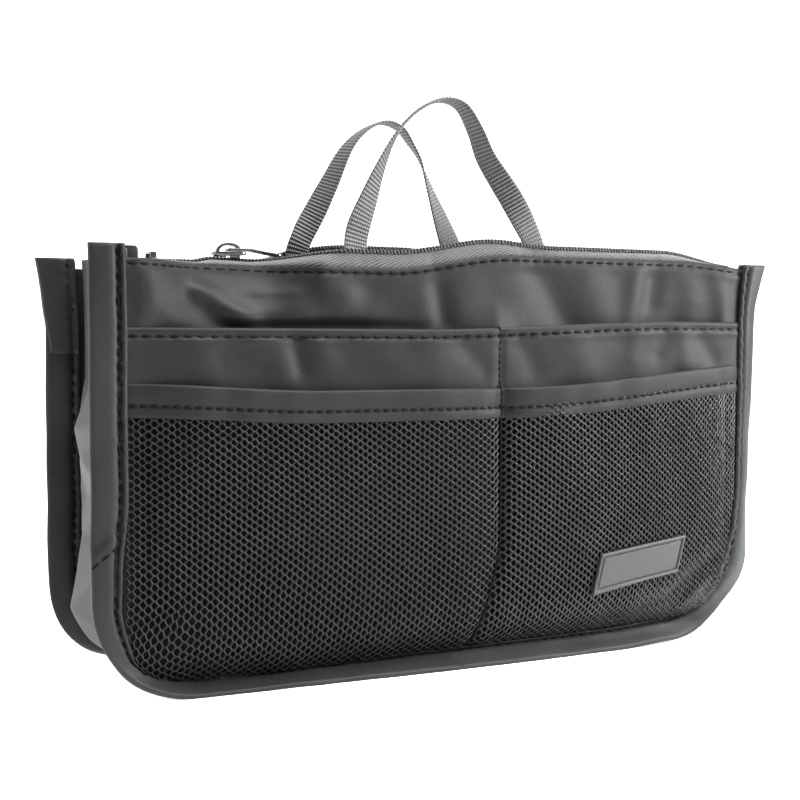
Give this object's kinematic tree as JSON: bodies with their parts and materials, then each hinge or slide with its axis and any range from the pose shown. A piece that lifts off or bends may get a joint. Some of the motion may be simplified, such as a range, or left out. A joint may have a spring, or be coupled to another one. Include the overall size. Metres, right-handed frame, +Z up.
{
  "type": "toiletry bag",
  "caption": "Soft nylon toiletry bag and handbag organiser with padded panels, outer flat and mesh pockets, taped edges, a folding gusset, an open zip and two webbing handles.",
  "frame": {"origin": "on the floor under the middle of the bag, at the bottom centre of its box", "axes": "+X along the bag's width, to the right seen from the front; +Y from the front panel to the back; +Z up"},
  "size_m": [0.3088, 0.0942, 0.2315],
  "materials": {
    "nylon": "dark grey coated nylon, soft sheen",
    "gusset_nylon": "dark grey unlined nylon, soft sheen",
    "binding_tape": "dark grey folded nylon tape, topstitched",
    "lining": "dark grey lining cloth",
    "padding": "thin grey foam sheet inside the panels",
    "mesh": "dark grey open mesh fabric",
    "zip_tape": "grey twill zip tape",
    "zip_teeth": "grey moulded coil",
    "nickel": "bright plated metal",
    "webbing": "dark grey ribbed webbing",
    "rubber": "dark grey moulded rubber"
  },
  "bodies": {
    "bag": {"front_shell": "nylon", "front_foam": "padding", "front_lining": "lining", "front_flat_pocket": "nylon", "front_mesh_pocket": "mesh", "front_mesh_band": "nylon", "binding_front": "binding_tape", "zip_tape_front": "zip_tape", "zip_teeth_front": "zip_teeth", "handle_foot_front_left": "webbing", "handle_foot_front_right": "webbing", "back_shell": "nylon", "back_foam": "padding", "back_lining": "lining", "back_flat_pocket": "nylon", "back_mesh_pocket": "mesh", "back_mesh_band": "nylon", "binding_back": "binding_tape", "zip_tape_back": "zip_tape", "zip_teeth_back": "zip_teeth", "handle_foot_back_left": "webbing", "handle_foot_back_right": "webbing", "gusset": "gusset_nylon", "binding_tab": "binding_tape", "badge_plate": "rubber", "zip_end_tab": "binding_tape", "zip_stop": "nickel"},
    "slider": {"zip_slider": "nickel"},
    "pull": {"zip_pull": "nickel"},
    "front_handle": {"handle_front": "webbing"},
    "back_handle": {"handle_back": "webbing"}
  },
  "joints": [
    {"name": "zip_travel", "type": "slide", "parent": "bag", "child": "slider", "axis": [1, 0, 0], "range_m": [-0.0225, 0.205]},
    {"name": "pull_hinge", "type": "hinge", "parent": "slider", "child": "pull", "pos_m": [-0.085, 0, 0.1691], "axis": [0, -1, 0], "range_deg": [0, 175]},
    {"name": "front_handle_fold", "type": "hinge", "parent": "bag", "child": "front_handle", "pos_m": [0, -0.028, 0.1785], "axis": [1, 0, 0], "range_deg": [-24, 100]},
    {"name": "back_handle_fold", "type": "hinge", "parent": "bag", "child": "back_handle", "pos_m": [0, 0.028, 0.1785], "axis": [-1, 0, 0], "range_deg": [-24, 100]}
  ]
}
